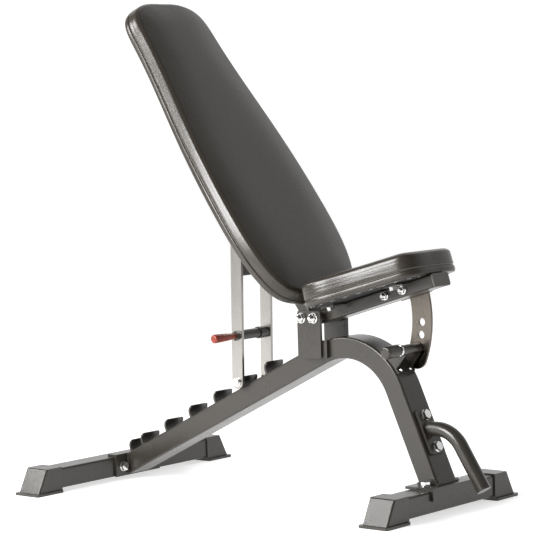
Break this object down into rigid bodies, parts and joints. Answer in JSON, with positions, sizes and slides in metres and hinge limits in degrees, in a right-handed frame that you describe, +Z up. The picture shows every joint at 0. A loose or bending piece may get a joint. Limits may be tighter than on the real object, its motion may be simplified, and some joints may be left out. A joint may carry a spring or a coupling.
{
  "type": "weight bench",
  "caption": "Adjustable exercise bench: padded backrest on a laddered rail with a swinging prop, tilting padded seat with a pull pin, T-shaped floor bases and a carry handle.",
  "frame": {"origin": "on the floor, under the middle of the object's box", "axes": "+Z up, +X from the head end to the seat end, +Y to the left of a person lying on the bench"},
  "size_m": [0.9218, 0.574, 0.9542],
  "materials": {
    "frame_paint": "semi-gloss charcoal powder coat",
    "black_plastic": "moulded plastic with a fine grain",
    "grey_plastic": "satin moulded plastic",
    "plated_steel": "bright zinc plate",
    "dark_plated_steel": "dark nickel plate",
    "chrome": "polished chrome plate",
    "vinyl": "warm black vinyl, stitched",
    "plywood": "raw plywood",
    "red_plastic": "red-orange dipped vinyl"
  },
  "bodies": {
    "frame": {"backrest_pivot_bolt": "chrome", "carry_handle": "frame_paint", "front_base_tube": "frame_paint", "front_foot_left": "black_plastic", "front_foot_right": "black_plastic", "front_saddle_bolts": "chrome", "front_saddle_plate": "frame_paint", "handle_bolts": "chrome", "handle_plate": "frame_paint", "handle_plug": "black_plastic", "hinge_packers": "frame_paint", "hinge_plate_left": "frame_paint", "hinge_plate_right": "frame_paint", "ladder_catch_1": "frame_paint", "ladder_catch_2": "frame_paint", "ladder_catch_3": "frame_paint", "ladder_catch_4": "frame_paint", "ladder_catch_5": "frame_paint", "ladder_catch_6": "frame_paint", "ladder_catch_7": "frame_paint", "main_tube": "frame_paint", "pin_bracket": "frame_paint", "pin_bracket_screws": "chrome", "pin_collar": "chrome", "pin_housing": "frame_paint", "rear_base_tube": "frame_paint", "rear_end_bolts": "chrome", "rear_end_plate": "frame_paint", "rear_foot_left": "black_plastic", "rear_foot_right": "black_plastic", "seat_pivot_bolt": "chrome"},
    "backrest": {"backrest_pad": "vinyl", "backrest_pad_board": "plywood", "backrest_pad_bolts": "chrome", "backrest_pad_tabs": "frame_paint", "backrest_pivot_sleeve": "frame_paint", "backrest_tube": "frame_paint", "backrest_tube_cap": "black_plastic", "prop_pivot_sleeve": "frame_paint"},
    "prop": {"prop_bar_left": "plated_steel", "prop_bar_right": "plated_steel", "prop_catch_pins": "chrome", "prop_cross_plate": "frame_paint", "prop_grip": "red_plastic", "prop_grip_bar": "frame_paint", "prop_grip_nut": "frame_paint", "prop_pivot_bolt": "chrome"},
    "seat": {"adjuster_bolts": "chrome", "adjuster_spacers": "chrome", "seat_adjuster_plate": "dark_plated_steel", "seat_pad": "vinyl", "seat_pad_board": "plywood", "seat_pad_bolts": "chrome", "seat_pad_tabs": "frame_paint", "seat_pivot_sleeve": "frame_paint", "seat_tube": "frame_paint", "seat_tube_cap": "grey_plastic"},
    "pop_pin": {"pull_knob": "black_plastic", "pull_pin": "chrome"}
  },
  "joints": [
    {"name": "backrest_tilt", "type": "hinge", "parent": "frame", "child": "backrest", "pos_m": [0.07424, 0, 0.34522], "axis": [0, 1, 0], "range_deg": [-67, 16]},
    {"name": "prop_swing", "type": "hinge", "parent": "backrest", "child": "prop", "pos_m": [-0.0792, 0, 0.52094], "axis": [0, 1, 0], "range_deg": [-28, 115]},
    {"name": "seat_tilt", "type": "hinge", "parent": "frame", "child": "seat", "pos_m": [0.10324, 0, 0.34622], "axis": [0, 1, 0], "range_deg": [0, 14]},
    {"name": "pop_pin_pull", "type": "slide", "parent": "frame", "child": "pop_pin", "axis": [0, -1, 0], "range_m": [0, 0.012], "stiffness_N_per_m": 400}
  ],
  "couplings": [
    {"joint": "prop_swing", "follows": "backrest_tilt", "ratio": -1.7}
  ]
}
